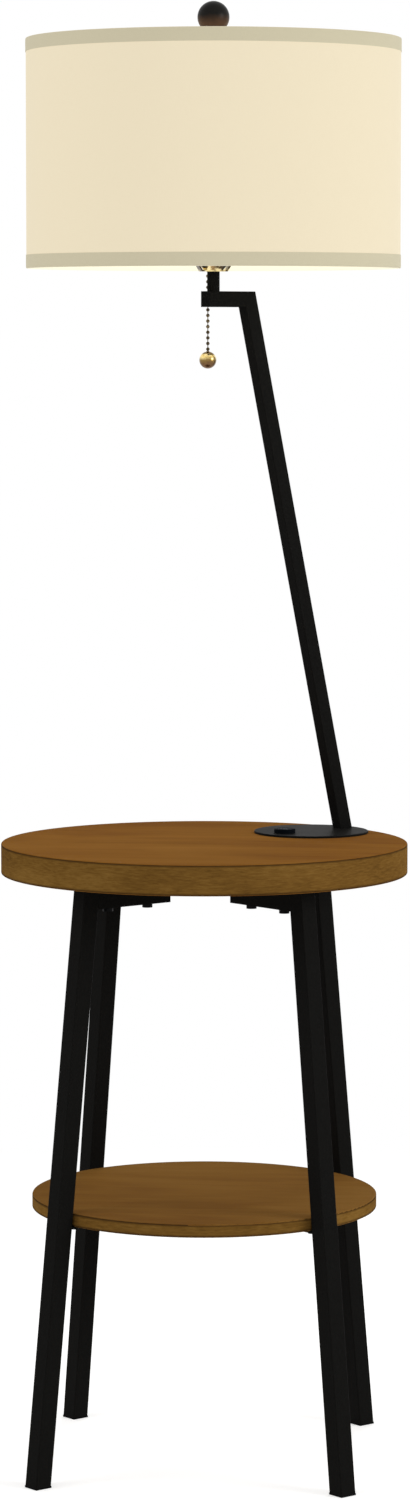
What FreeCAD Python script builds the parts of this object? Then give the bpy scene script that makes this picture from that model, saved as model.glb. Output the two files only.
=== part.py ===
import FreeCAD, Part
import math
import os
import Sketcher

# Floor lamp with a round end table. Millimetres, +Z up, origin on the floor at the table's axis.
# The four legs stand on the diagonals. The lamp rises over the back right leg and its arm
# brings the lamp head back over the middle of the table.

os.makedirs("parts", exist_ok=True)

Vector = FreeCAD.Vector
doc = FreeCAD.newDocument("floor_lamp_table")

# ---------------------------------------------------------------- driving dimensions
sizes = {
    # table top and shelf
    "top_radius": 208.0,
    "top_thick": 31.0,
    "top_height": 638.4,
    "top_round": 1.6,
    "shelf_leg_gap": 0.9,
    "shelf_thick": 13.6,
    "shelf_height": 275.8,
    "shelf_round": 1.2,
    # legs of square tube, their tops closed by the table top
    "leg_side": 19.05,
    "leg_wall": 1.5,
    "leg_corner": 1.4,
    "leg_splay": 9.2,
    "leg_lean": 6.1,
    "glide_flange": 2.0,
    "glide_plug": 14.0,
    "plug_gap": 0.1,
    # rails under the table top, welded to the legs
    "rail_depth": 26.0,
    "rail_width": 18.0,
    "rail_wall": 1.5,
    "rail_inner_end": 52.0,
    "rail_plug_flange": 1.0,
    "rail_plug_depth": 8.0,
    "bolt_near_inset": 23.0,
    "bolt_far_inset": 16.7,
    "bolt_radius": 3.0,
    "bolt_grip": 14.0,
    "bolt_head_radius": 5.2,
    "bolt_head_tall": 4.2,
    "bolt_gap": 0.3,
    "thread_gap": 0.05,
    "pilot_spare": 1.0,
    # shelf tabs, welded to the legs, and their screws
    "tab_thick": 2.0,
    "tab_reach": 20.0,
    "tab_width": 18.0,
    "tab_screw_inset": 10.0,
    "screw_radius": 2.0,
    "screw_grip": 9.0,
    "screw_head_radius": 4.0,
    "screw_head_tall": 2.2,
    # round plate of the lamp and its fixings through the table top
    "plate_radius": 59.4,
    "plate_thick": 2.2,
    "plate_round": 0.7,
    "plate_inset": 3.8,
    "stud_circle": 40.0,
    "stud_angle": 50.0,
    "stud_radius": 3.0,
    "stud_tail": 9.0,
    "washer_radius": 9.0,
    "washer_thick": 1.5,
    "nut_flats": 10.0,
    "nut_tall": 5.0,
    "stud_gap": 0.4,
    # pole and arm of one rectangular tube, mitred
    "pole_depth": 16.0,
    "pole_width": 12.7,
    "pole_wall": 1.5,
    "pole_corner": 1.0,
    "pole_foot_step": 43.3,
    "arm_long": 53.7,
    "arm_top_height": 1199.9,
    "arm_tip_reach": 0.9,
    "arm_cap_flange": 1.2,
    "arm_cap_plug": 4.5,
    "wire_way_radius": 4.0,
    # cord outlet in the table's underside
    "grommet_radius": 6.0,
    "grommet_plug": 9.0,
    "grommet_flange_radius": 8.5,
    "grommet_flange": 2.0,
    "grommet_bore": 3.6,
    # charging port on the plate
    "port_inset": 36.4,
    "port_rim_radius": 11.1,
    "port_rim_tall": 4.4,
    "port_rim_round": 1.0,
    "port_body_radius": 9.0,
    "port_body_deep": 13.0,
    "port_slot_wide": 13.2,
    "port_slot_tall": 5.7,
    "port_slot_deep": 14.0,
    "port_shell": 0.4,
    "port_tongue_wide": 11.0,
    "port_tongue_tall": 1.9,
    "port_tongue_deep": 12.6,
    "port_gap": 0.2,
    "port_recess_spare": 2.0,
    # riser, nipple and harp saddle on the lamp's axis
    "axis_reach": 12.0,
    "riser_radius": 6.35,
    "riser_bore": 4.85,
    "riser_tall": 19.9,
    "nipple_radius": 4.8,
    "nipple_bore": 3.2,
    "nipple_tail": 14.0,
    "nipple_head": 7.4,
    "saddle_thick": 1.6,
    "saddle_width": 11.0,
    "saddle_foot": 13.6,
    "saddle_spread": 26.0,
    "saddle_rise": 20.0,
    "saddle_tab": 13.0,
    "saddle_tab_width": 5.0,
    "saddle_shoulder": 1.0,
    "harp_turn": -23.4,
    # socket
    "cap_foot_radius": 10.0,
    "cap_radius": 17.4,
    "cap_wall": 0.8,
    "cap_cone": 9.5,
    "cap_hub": 5.8,
    "cap_bend_rise": 1.0,
    "cap_tall": 20.0,
    "shell_radius": 16.5,
    "shell_wall": 0.6,
    "shell_lip": 1.0,
    "shell_lap": 7.0,
    "shell_tall": 50.0,
    "liner_gap": 0.1,
    "liner_wall": 0.6,
    "core_lift": 1.0,
    "core_tall": 19.0,
    "screw_shell_radius": 14.0,
    "screw_shell_wall": 0.5,
    "screw_shell_tall": 25.0,
    "contact_radius": 4.0,
    "contact_tall": 3.0,
    "contact_bore": 0.8,
    # bulb
    "bulb_radius": 30.0,
    "bulb_neck_radius": 13.6,
    "bulb_tall": 84.0,
    "bulb_neck_tall": 10.0,
    "bulb_shoulder": 34.0,
    "base_radius": 13.4,
    "base_tall": 23.0,
    "base_tip_radius": 4.5,
    "base_tip_tall": 3.0,
    "base_bevel": 1.0,
    # harp
    "wire_radius": 1.6,
    "harp_half_width": 47.0,
    "harp_lower": 26.0,
    "harp_waist": 70.0,
    "harp_shoulder": 148.0,
    "harp_top_half": 20.0,
    "harp_lift": 2.0,
    "harp_tall": 194.6,
    "ferrule_radius": 4.3,
    "ferrule_bore": 3.6,
    "ferrule_tall": 11.0,
    "harp_boss_radius": 5.0,
    "harp_boss_tall": 4.0,
    "finial_stud_radius": 3.175,
    "finial_stud_tall": 15.0,
    # shade and its fitter
    "shade_radius": 190.0,
    "shade_tall": 231.2,
    "shade_wall": 1.2,
    "trim_thick": 0.4,
    "trim_wide": 13.8,
    "ring_radius": 1.5,
    "ring_gap": 0.1,
    "fitter_drop": 11.9,
    "hub_radius": 14.0,
    "hub_thick": 1.5,
    "spoke_radius": 1.5,
    "spoke_inner_end": 8.0,
    "spoke_count": 3,
    "spoke_start_angle": 30.0,
    "hub_gap": 0.3,
    # finial
    "ball_radius": 16.2,
    "ball_rise": 31.8,
    "finial_foot_radius": 8.0,
    "finial_foot_tall": 4.0,
    "finial_neck_radius": 5.0,
    "finial_cone_tall": 5.0,
    "finial_thread_gap": 0.08,
    "finial_bore_spare": 1.0,
    "finial_seat_gap": 0.1,
    # pull chain
    "chain_reach": 21.5,
    "chain_angle": 65.65,
    "bell_radius": 3.2,
    "bell_bore": 2.3,
    "bell_tall": 12.0,
    "bell_lift": 6.5,
    "bell_lip": 0.7,
    "bell_roof": 1.0,
    "bell_arm_wide": 4.0,
    "bell_arm_tall": 5.0,
    "bell_arm_lift": 4.0,
    "bead_radius": 1.85,
    "bead_pitch": 5.7,
    "bead_first": 3.0,
    "link_radius": 0.5,
    "pull_ball_radius": 8.7,
    "pull_chain_long": 110.7,
    "pull_neck_radius": 1.5,
    "pull_neck_tall": 0.5,
    "pivot_gap": 0.3,
}

CORNERS = {"front_left": 225, "front_right": 315, "back_left": 135, "back_right": 45}
LAMP_TURN = 45

overrun = 1            # how far a cutting shape, or a stem inside its boss, runs past the face
tube_edge_ratio = 3    # a tube's long edges are over this many of its widths
arc_share = 0.45       # of the shorter run beside a bend in the harp's wire
shoulder_share = 0.9   # of the bulb's radius
crown_share = 0.98

sheet = doc.addObject("Spreadsheet::Sheet", "Sizes")
for row, (alias, number) in enumerate(sizes.items(), start=1):
    sheet.set("A%d" % row, alias)
    sheet.set("B%d" % row, str(number))
    sheet.setAlias("B%d" % row, alias)
doc.recompute()


class Term:
    """A size worked out from the sheet: its value now, and the formula that keeps it."""

    def __init__(self, value, text):
        self.value = value
        self.text = text

    def joined(self, other, sign, value):
        return Term(value, "(%s %s %s)" % (self.text, sign, term(other).text))

    def __add__(self, other):
        return self.joined(other, "+", self.value + term(other).value)

    def __radd__(self, other):
        return term(other) + self

    def __sub__(self, other):
        return self.joined(other, "-", self.value - term(other).value)

    def __rsub__(self, other):
        return term(other) - self

    def __mul__(self, other):
        return self.joined(other, "*", self.value * term(other).value)

    def __rmul__(self, other):
        return term(other) * self

    def __truediv__(self, other):
        return self.joined(other, "/", self.value / term(other).value)

    def __neg__(self):
        return term(0) - self


def term(value):
    if isinstance(value, Term):
        return value
    return Term(float(value), "%.9g" % value)


def size(alias):
    return Term(float(sheet.get(alias)), "Sizes." + alias)


def tangent(angle):
    return Term(math.tan(math.radians(angle.value)), "tan(%s * 1deg)" % angle.text)


def cosine(angle):
    return Term(math.cos(math.radians(angle.value)), "cos(%s * 1deg)" % angle.text)


def slant(slope):
    """How many times its depth a tube measures where it is cut level, from its run per unit of height."""
    return Term(math.sqrt(1 + slope.value ** 2), "sqrt(1 + %s * %s)" % (slope.text, slope.text))


# ---------------------------------------------------------------- shared heights and places
under_top = size("top_height") - size("top_thick")
rail_floor = under_top - size("rail_depth")
shelf_under = size("shelf_height") - size("shelf_thick")
tab_floor = shelf_under - size("tab_thick")
leg_slope = tangent(size("leg_lean"))
leg_half = size("leg_side") / 2 / cosine(size("leg_lean"))

plate_top = size("top_height") + size("plate_thick")
arm_top = size("arm_top_height")
arm_floor = arm_top - size("pole_depth")

saddle_floor = arm_top + size("riser_tall")
saddle_bend = saddle_floor + size("saddle_rise")
saddle_shoulder = saddle_bend + size("saddle_shoulder")
cap_floor = saddle_floor + size("saddle_thick")
cap_rim = cap_floor + size("cap_tall")
shell_floor = cap_rim - size("shell_lap")
shell_rim = shell_floor + size("shell_tall")
core_floor = shell_floor + size("core_lift")
core_top = core_floor + size("core_tall")
contact_top = core_top + size("contact_tall")
base_floor = contact_top + size("base_tip_tall")
glass_floor = base_floor + size("base_tall")

harp_start = saddle_bend + size("harp_lift")
harp_side = size("saddle_spread") + size("wire_radius")
harp_crown = harp_start + size("harp_tall")
hub_floor = harp_crown + size("wire_radius") + size("harp_boss_tall")
hub_top = hub_floor + size("hub_thick")
shade_top = hub_floor + size("fitter_drop")
shade_floor = shade_top - size("shade_tall")
ball_middle = hub_top + size("ball_rise")
drum_radius = size("shade_radius") - size("trim_thick")
drum_inner = drum_radius - size("shade_wall")
ring_reach = drum_inner - size("ring_gap") - size("ring_radius")

bell_floor = shell_floor + size("bell_lift")
pull_ball_middle = bell_floor - size("pull_chain_long")

leg_foot_reach = size("top_radius") + size("leg_splay")
plate_reach = size("top_radius") - size("plate_inset") - size("plate_radius")
port_reach = plate_reach - size("port_inset")

# the pole leans from its foot on the plate in to the far end of the arm
pole_foot_reach = plate_reach + size("pole_foot_step")
pole_head_reach = size("arm_tip_reach") + size("arm_long")
pole_slope = (pole_foot_reach - pole_head_reach) / (arm_top - plate_top)
pole_half = size("pole_depth") / 2 * slant(pole_slope)


def legReach(height):
    """Distance of a leg's middle line from the table's axis, at a height."""
    return leg_foot_reach - height * leg_slope


def legInside(height):
    return legReach(height) - leg_half


shelf_radius = legInside(size("shelf_height")) - size("shelf_leg_gap")
bolt_near = size("rail_inner_end") + size("bolt_near_inset")
bolt_far = legInside(under_top) - size("bolt_far_inset")


def poleReach(height):
    """Distance of the pole's middle line from the table's axis, at a height."""
    return pole_foot_reach - (height - plate_top) * pole_slope


# ---------------------------------------------------------------- ways of making pieces
pieces = {}


def keep(label, thing):
    thing.Label = label
    pieces[label] = thing
    return thing


def turnAbout(angle):
    return FreeCAD.Rotation(Vector(0, 0, 1), angle)


def place(thing, across=0, deep=0, height=0, turn=0):
    """Stand a piece at a point whose coordinates follow the sheet."""
    thing.Placement = FreeCAD.Placement(Vector(), turnAbout(turn))
    for side, amount in (("x", across), ("y", deep), ("z", height)):
        thing.setExpression("Placement.Base." + side, term(amount).text)
    return thing


def onDiagonal(angle, along, across=0):
    """A point given along and across a diagonal, as X and Y."""
    cos_turn = math.cos(math.radians(angle))
    sin_turn = math.sin(math.radians(angle))
    along, across = term(along), term(across)
    return along * cos_turn - across * sin_turn, along * sin_turn + across * cos_turn


def newBody(label, angle=0, along=0, across=0, spin=0):
    body = doc.addObject("PartDesign::Body", label)
    x, y = onDiagonal(angle, along, across)
    return place(body, x, y, 0, angle + spin)


def newSketch(body, name, role, height=None):
    sketch = body.newObject("Sketcher::SketchObject", name)
    planes = [plane for plane in body.Origin.OriginFeatures if plane.Role == role]
    sketch.AttachmentSupport = (planes[0], [""])
    sketch.MapMode = "FlatFace"
    if height is not None:
        sketch.setExpression("AttachmentOffset.Base.z", term(height).text)
    return sketch


def fixPoint(sketch, geometry, end, across, up):
    for kind, amount in (("DistanceX", term(across)), ("DistanceY", term(up))):
        index = sketch.addConstraint(Sketcher.Constraint(kind, -1, 1, geometry, end, amount.value))
        sketch.setExpression("Constraints[%d]" % index, amount.text)


def outline(body, name, role, corners, height=None):
    """A closed sketch of straight lines, each corner held by two formulas."""
    sketch = newSketch(body, name, role, height)
    points = [Vector(term(x).value, term(y).value, 0) for x, y in corners]
    for number, point in enumerate(points):
        follower = points[(number + 1) % len(points)]
        sketch.addGeometry(Part.LineSegment(point, follower), False)
    for number in range(len(points)):
        follower = (number + 1) % len(points)
        sketch.addConstraint(Sketcher.Constraint("Coincident", number, 2, follower, 1))
    for number, (x, y) in enumerate(corners):
        fixPoint(sketch, number, 1, x, y)
    return sketch


def circles(body, name, height, rounds):
    """A sketch of circles at a height, each given as X, Y and radius."""
    sketch = newSketch(body, name, "XY_Plane", height)
    for number, (x, y, radius) in enumerate(rounds):
        centre = Vector(term(x).value, term(y).value, 0)
        sketch.addGeometry(Part.Circle(centre, Vector(0, 0, 1), term(radius).value), False)
        fixPoint(sketch, number, 3, x, y)
        index = sketch.addConstraint(Sketcher.Constraint("Radius", number, term(radius).value))
        sketch.setExpression("Constraints[%d]" % index, term(radius).text)
    return sketch


def turned(body, name, corners):
    """A body of revolution about the vertical line through its own origin."""
    sketch = outline(body, name + "_profile", "XZ_Plane", corners)
    feature = body.newObject("PartDesign::Revolution", name)
    feature.Profile = sketch
    feature.ReferenceAxis = (sketch, ["V_Axis"])
    feature.Angle = 360
    sketch.Visibility = False
    return feature


def slab(body, name, corners, width):
    """Thickness given evenly to both sides of an upright outline."""
    feature = body.newObject("PartDesign::Pad", name)
    feature.Profile = outline(body, name + "_outline", "XZ_Plane", corners)
    feature.Midplane = True
    feature.setExpression("Length", term(width).text)
    return feature


def hollow(body, name, corners, width):
    """An upright outline cut evenly to both sides, and checked that it removed something."""
    doc.recompute()
    before = body.Shape.Volume
    feature = body.newObject("PartDesign::Pocket", name)
    feature.Profile = outline(body, name + "_outline", "XZ_Plane", corners)
    feature.Midplane = True
    feature.setExpression("Length", term(width).text)
    return checkCut(body, before)


def drill(body, name, height, rounds, depth, upward=False):
    """Round holes from a height, down or up, and checked that they removed something."""
    doc.recompute()
    before = body.Shape.Volume
    feature = body.newObject("PartDesign::Pocket", name)
    feature.Profile = circles(body, name + "_circles", height, rounds)
    feature.Reversed = upward
    feature.setExpression("Length", term(depth).text)
    return checkCut(body, before)


def checkCut(body, before):
    doc.recompute()
    if body.Shape.Volume >= before:
        raise ValueError("nothing was cut from " + body.Label)
    return body


def softenEdges(body, name, radius, wanted):
    """Round the edges that a test picks out."""
    doc.recompute()
    base = body.Tip
    picked = ["Edge%d" % (index + 1) for index, edge in enumerate(base.Shape.Edges) if wanted(edge)]
    feature = body.newObject("PartDesign::Fillet", name)
    feature.Base = (base, picked)
    feature.setExpression("Radius", term(radius).text)
    return feature


def roundRim(body, name, radius, rim, heights):
    """Round the circular edges of one radius that lie at the given heights."""
    def wanted(edge):
        if not isinstance(edge.Curve, Part.Circle):
            return False
        near = any(abs(edge.Curve.Center.z - term(level).value) < 0.01 for level in heights)
        return near and abs(edge.Curve.Radius - term(rim).value) < 0.01
    return softenEdges(body, name, radius, wanted)


def longEdge(width):
    """A test for the straight edges along a tube of some width."""
    least = width.value * tube_edge_ratio
    return lambda edge: isinstance(edge.Curve, Part.Line) and edge.Length > least


def rod(name, radius, tall, x=0, y=0, z=0):
    cylinder = doc.addObject("Part::Cylinder", name)
    cylinder.setExpression("Radius", term(radius).text)
    cylinder.setExpression("Height", term(tall).text)
    return place(cylinder, x, y, z)


def block(name, wide, deep, tall, x=0, y=0, z=0, turn=0):
    """A box standing at a height, its footprint centred on a point before it is turned."""
    box = doc.addObject("Part::Box", name)
    for side, amount in (("Length", wide), ("Width", deep), ("Height", tall)):
        box.setExpression(side, term(amount).text)
    left, front = onDiagonal(turn, -term(wide) / 2, -term(deep) / 2)
    return place(box, term(x) + left, term(y) + front, z, turn)


def orb(name, radius, x=0, y=0, z=0):
    sphere = doc.addObject("Part::Sphere", name)
    sphere.setExpression("Radius", term(radius).text)
    return place(sphere, x, y, z)


def hoop(name, reach, radius, z=0):
    torus = doc.addObject("Part::Torus", name)
    torus.setExpression("Radius1", term(reach).text)
    torus.setExpression("Radius2", term(radius).text)
    return place(torus, 0, 0, z)


def fused(name, things):
    union = doc.addObject("Part::MultiFuse", name)
    union.Shapes = things
    return union


def cut(name, base, tool):
    difference = doc.addObject("Part::Cut", name)
    difference.Base = base
    difference.Tool = tool
    return difference


def group(label, things):
    compound = doc.addObject("Part::Compound", label)
    compound.Links = things
    return keep(label, compound)


# ---------------------------------------------------------------- table
def boltPlaces():
    """Where the rails bolt up into the table top: two on each diagonal."""
    return [onDiagonal(angle, reach) for angle in CORNERS.values() for reach in (bolt_near, bolt_far)]


def studPlaces():
    """The plate's four studs, clear of the rail and leg below."""
    spots = []
    for base_angle in (0, 180):
        for sign in (1, -1):
            turn = math.radians(base_angle + sign * size("stud_angle").value)
            along = plate_reach + size("stud_circle") * math.cos(turn)
            spots.append(onDiagonal(LAMP_TURN, along, size("stud_circle") * math.sin(turn)))
    return spots


def makeTop():
    body = keep("table_top", newBody("table_top"))
    radius, top = size("top_radius"), size("top_height")
    turned(body, "top_disc", [(0, under_top), (radius, under_top), (radius, top), (0, top)])
    roundRim(body, "top_edges", size("top_round"), radius, (top, under_top))
    pilot = size("bolt_radius") + size("thread_gap")
    drill(body, "bolt_pilots", under_top, [(x, y, pilot) for x, y in boltPlaces()],
          size("bolt_grip") + size("pilot_spare"), upward=True)
    stud_hole = size("stud_radius") + size("stud_gap")
    drill(body, "stud_holes", top, [(x, y, stud_hole) for x, y in studPlaces()], size("top_thick"))
    x, y = onDiagonal(LAMP_TURN, pole_foot_reach)
    drill(body, "cord_hole", top, [(x, y, size("grommet_radius"))], size("top_thick"))
    x, y = onDiagonal(LAMP_TURN, port_reach)
    drill(body, "port_recess", top, [(x, y, size("port_body_radius") + size("port_gap"))],
          size("port_body_deep") + size("port_recess_spare"))


def makeShelf():
    body = keep("lower_shelf", newBody("lower_shelf"))
    radius, top = shelf_radius, size("shelf_height")
    turned(body, "shelf_disc", [(0, shelf_under), (radius, shelf_under), (radius, top), (0, top)])
    roundRim(body, "shelf_edges", size("shelf_round"), radius, (top, shelf_under))
    pilot = size("screw_radius") + size("thread_gap")
    spots = [onDiagonal(angle, tabScrewReach()) for angle in CORNERS.values()]
    drill(body, "screw_pilots", shelf_under, [(x, y, pilot) for x, y in spots],
          size("screw_grip") + size("pilot_spare"), upward=True)


def tabScrewReach():
    return legInside(shelf_under) - size("tab_screw_inset")


def makeLeg(corner, angle):
    """One square tube, its ends cut level, leaning in towards the table's axis."""
    body = keep("leg_" + corner, newBody("leg_" + corner, angle))
    foot, top = size("glide_flange"), under_top
    bore_half = (size("leg_side") / 2 - size("leg_wall")) / cosine(size("leg_lean"))

    def level(half):
        low, high = legReach(foot), legReach(top)
        return [(low - half, foot), (low + half, foot), (high + half, top), (high - half, top)]
    slab(body, "leg_tube_" + corner, level(leg_half), size("leg_side"))
    softenEdges(body, "leg_corners_" + corner, size("leg_corner"), longEdge(size("leg_side")))
    hollow(body, "leg_bore_" + corner, level(bore_half), size("leg_side") - size("leg_wall") * 2)


def makeRail(corner, angle):
    """A level tube from the leg towards the middle, with two bolts up through it."""
    body = keep("rail_" + corner, newBody("rail_" + corner, angle))
    start = size("rail_inner_end") + size("rail_plug_flange")
    wall = size("rail_wall")
    floor, roof = rail_floor, under_top
    slab(body, "rail_tube_" + corner,
         [(start, floor), (legInside(floor), floor), (legInside(roof), roof), (start, roof)],
         size("rail_width"))
    low, high = floor + wall, roof - wall
    hollow(body, "rail_bore_" + corner,
           [(start, low), (legInside(low), low), (legInside(high), high), (start, high)],
           size("rail_width") - wall * 2)
    hole = size("bolt_radius") + size("bolt_gap")
    drill(body, "rail_holes_" + corner, rail_floor,
          [(bolt_near, 0, hole), (bolt_far, 0, hole)], size("rail_depth"), upward=True)


def makeRailPlug(corner, angle):
    body = newBody("rail_plug_" + corner, angle)
    end, wall, gap = size("rail_inner_end"), size("rail_wall"), size("plug_gap")
    seat = end + size("rail_plug_flange")
    tail = seat + size("rail_plug_depth")
    slab(body, "plug_flange_" + corner,
         [(end, rail_floor), (seat, rail_floor), (seat, under_top), (end, under_top)],
         size("rail_width"))
    low, high = rail_floor + wall + gap, under_top - wall - gap
    slab(body, "plug_block_" + corner, [(seat, low), (tail, low), (tail, high), (seat, high)],
         size("rail_width") - (wall + gap) * 2)
    return body


def makeGlide(corner, angle):
    """A plastic foot: a flange on the floor and a plug up inside the leg."""
    body = newBody("glide_" + corner, angle)
    seat, tip = size("glide_flange"), size("glide_flange") + size("glide_plug")
    slab(body, "glide_flange_" + corner,
         [(legReach(seat) - leg_half, 0), (legReach(seat) + leg_half, 0),
          (legReach(seat) + leg_half, seat), (legReach(seat) - leg_half, seat)],
         size("leg_side"))
    side = size("leg_side") / 2 - size("leg_wall") - size("plug_gap")
    half = side / cosine(size("leg_lean"))
    slab(body, "glide_plug_" + corner,
         [(legReach(seat) - half, seat), (legReach(seat) + half, seat),
          (legReach(tip) + half, tip), (legReach(tip) - half, tip)],
         side * 2)
    return body


def makeShelfTab(corner, angle):
    body = newBody("shelf_tab_" + corner, angle)
    near = legInside(shelf_under) - size("tab_reach")
    slab(body, "tab_strip_" + corner,
         [(near, tab_floor), (legInside(tab_floor), tab_floor),
          (legInside(shelf_under), shelf_under), (near, shelf_under)],
         size("tab_width"))
    drill(body, "tab_hole_" + corner, shelf_under,
          [(tabScrewReach(), 0, size("screw_radius") + size("bolt_gap"))], size("tab_thick"))
    return body


def fastener(name, x, y, seat, shank_radius, shank_tall, head_radius, head_tall):
    """A headed bolt pointing up, its head's upper face at the seat."""
    shank = rod(name + "_shank", shank_radius, shank_tall, x, y, seat)
    head = rod(name + "_head", head_radius, head_tall, x, y, seat - head_tall)
    return fused(name, [head, shank])


def makeTable():
    makeTop()
    makeShelf()
    for corner, angle in CORNERS.items():
        makeLeg(corner, angle)
        makeRail(corner, angle)
    group("rail_end_plugs", [makeRailPlug(*item) for item in CORNERS.items()])
    group("foot_glides", [makeGlide(*item) for item in CORNERS.items()])
    group("shelf_tabs", [makeShelfTab(*item) for item in CORNERS.items()])
    bolts = [fastener("rail_bolt_%d" % number, x, y, rail_floor, size("bolt_radius"),
                      size("rail_depth") + size("bolt_grip"), size("bolt_head_radius"),
                      size("bolt_head_tall"))
             for number, (x, y) in enumerate(boltPlaces(), start=1)]
    group("rail_bolts", bolts)
    screws = []
    for corner, angle in CORNERS.items():
        x, y = onDiagonal(angle, tabScrewReach())
        screws.append(fastener("shelf_screw_" + corner, x, y, tab_floor, size("screw_radius"),
                               size("tab_thick") + size("screw_grip"), size("screw_head_radius"),
                               size("screw_head_tall")))
    group("shelf_screws", screws)


# ---------------------------------------------------------------- lamp post
def makePlate():
    body = keep("base_plate", newBody("base_plate", LAMP_TURN, plate_reach))
    radius, floor = size("plate_radius"), size("top_height")
    turned(body, "plate_disc", [(0, floor), (radius, floor), (radius, plate_top), (0, plate_top)])
    roundRim(body, "plate_edge", size("plate_round"), radius, (plate_top,))
    port_along = port_reach - plate_reach
    foot_along = pole_foot_reach - plate_reach
    drill(body, "plate_holes", plate_top,
          [(foot_along, 0, size("wire_way_radius")),
           (port_along, 0, size("port_body_radius") + size("port_gap"))],
          size("plate_thick"))


def hexNut(name, x, y, floor):
    prism = doc.addObject("Part::Prism", name + "_prism")
    prism.Polygon = 6
    prism.setExpression("Circumradius", (size("nut_flats") / math.sqrt(3)).text)
    prism.setExpression("Height", size("nut_tall").text)
    place(prism, x, y, floor)
    bore = rod(name + "_bore", size("stud_radius") + size("thread_gap"), size("nut_tall"), x, y, floor)
    return cut(name, prism, bore)


def makePlateFixings():
    """Studs welded under the plate, with a washer and nut each below the table top."""
    studs, washers, nuts = [], [], []
    washer_floor = under_top - size("washer_thick")
    for number, (x, y) in enumerate(studPlaces(), start=1):
        length = size("top_thick") + size("stud_tail")
        studs.append(rod("plate_stud_%d" % number, size("stud_radius"), length, x, y,
                         size("top_height") - length))
        disc = rod("washer_disc_%d" % number, size("washer_radius"), size("washer_thick"), x, y, washer_floor)
        hole = rod("washer_hole_%d" % number, size("stud_radius") + size("bolt_gap"),
                   size("washer_thick"), x, y, washer_floor)
        washers.append(cut("washer_%d" % number, disc, hole))
        nuts.append(hexNut("stud_nut_%d" % number, x, y, washer_floor - size("nut_tall")))
    group("plate_studs", studs)
    group("stud_washers", washers)
    group("stud_nuts", nuts)


def mitreCorners(inset):
    """Inner and outer ends of the mitre, for the tube's outside or its bore."""
    half = pole_half - inset * slant(pole_slope)
    roof, floor = arm_top - inset, arm_floor + inset
    return (poleReach(roof) + half, roof), (poleReach(floor) - half, floor), half


def makePole():
    body = keep("pole", newBody("pole", LAMP_TURN))

    def corners(inset):
        outer, inner, half = mitreCorners(inset)
        foot = pole_foot_reach
        return [(foot - half, plate_top), (foot + half, plate_top), outer, inner]
    slab(body, "pole_tube", corners(term(0)), size("pole_width"))
    softenEdges(body, "pole_corners", size("pole_corner"), longEdge(size("pole_width")))
    hollow(body, "pole_bore", corners(size("pole_wall")), size("pole_width") - size("pole_wall") * 2)


def makeArm():
    body = keep("lamp_arm", newBody("lamp_arm", LAMP_TURN))
    end = size("arm_tip_reach") + size("arm_cap_flange")

    def corners(inset):
        outer, inner, half = mitreCorners(inset)
        return [(end, inner[1]), inner, outer, (end, outer[1])]
    slab(body, "arm_tube", corners(term(0)), size("pole_width"))
    softenEdges(body, "arm_corners", size("pole_corner"), longEdge(size("pole_width")))
    hollow(body, "arm_bore", corners(size("pole_wall")), size("pole_width") - size("pole_wall") * 2)
    drill(body, "arm_wire_hole", arm_top, [(size("axis_reach"), 0, size("wire_way_radius"))],
          size("pole_wall") * 2)
    cap = keep("arm_end_cap", newBody("arm_end_cap", LAMP_TURN))
    tip, wall, gap = size("arm_tip_reach"), size("pole_wall"), size("plug_gap")
    slab(cap, "arm_cap_flange", [(tip, arm_floor), (end, arm_floor), (end, arm_top), (tip, arm_top)],
         size("pole_width"))
    low, high = arm_floor + wall + gap, arm_top - wall - gap
    tail = end + size("arm_cap_plug")
    slab(cap, "arm_cap_plug", [(end, low), (tail, low), (tail, high), (end, high)],
         size("pole_width") - (wall + gap) * 2)


def makeGrommet():
    body = keep("cord_grommet", newBody("cord_grommet", LAMP_TURN, pole_foot_reach))
    bore, plug, flange = size("grommet_bore"), size("grommet_radius"), size("grommet_flange_radius")
    foot, tip = under_top - size("grommet_flange"), under_top + size("grommet_plug")
    turned(body, "grommet_ring",
           [(bore, foot), (flange, foot), (flange, under_top), (plug, under_top), (plug, tip), (bore, tip)])


def makePort():
    """A charging port set through the plate into the table top, its slot facing up."""
    x, y = onDiagonal(LAMP_TURN, port_reach)
    rim_top = plate_top + size("port_rim_tall")
    body_floor = size("top_height") - size("port_body_deep")
    housing = doc.addObject("PartDesign::Body", "port_shape")
    turned(housing, "port_turning",
           [(0, body_floor), (size("port_body_radius"), body_floor), (size("port_body_radius"), plate_top),
            (size("port_rim_radius"), plate_top), (size("port_rim_radius"), rim_top), (0, rim_top)])
    roundRim(housing, "port_rim_edge", size("port_rim_round"), size("port_rim_radius"), (rim_top,))
    place(housing, x, y)
    slot_floor = rim_top - size("port_slot_deep")
    slot = block("port_slot", size("port_slot_wide"), size("port_slot_tall"),
                 size("port_slot_deep") + overrun, x, y, slot_floor)
    keep("port_housing", cut("port_housing", housing, slot))
    skin = size("port_shell")
    shell_top = rim_top - skin
    outer = block("port_can_outer", size("port_slot_wide"), size("port_slot_tall"),
                  shell_top - slot_floor, x, y, slot_floor)
    inner = block("port_can_inner", size("port_slot_wide") - skin * 2, size("port_slot_tall") - skin * 2,
                  shell_top - slot_floor, x, y, slot_floor + skin)
    can = cut("port_can", outer, inner)
    tongue = block("port_tongue", size("port_tongue_wide"), size("port_tongue_tall"),
                   size("port_tongue_deep"), x, y, slot_floor + skin / 2)
    keep("port_contacts", fused("port_contacts", [can, tongue]))


# ---------------------------------------------------------------- lamp head
def headBody(label, spin=0):
    return newBody(label, LAMP_TURN, size("axis_reach"), 0, spin)


def ring(label, inner, outer, floor, tall):
    """A plain tube on the lamp's axis."""
    body = keep(label, headBody(label))
    turned(body, label + "_ring",
           [(inner, floor), (outer, floor), (outer, floor + tall), (inner, floor + tall)])
    return body


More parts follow.
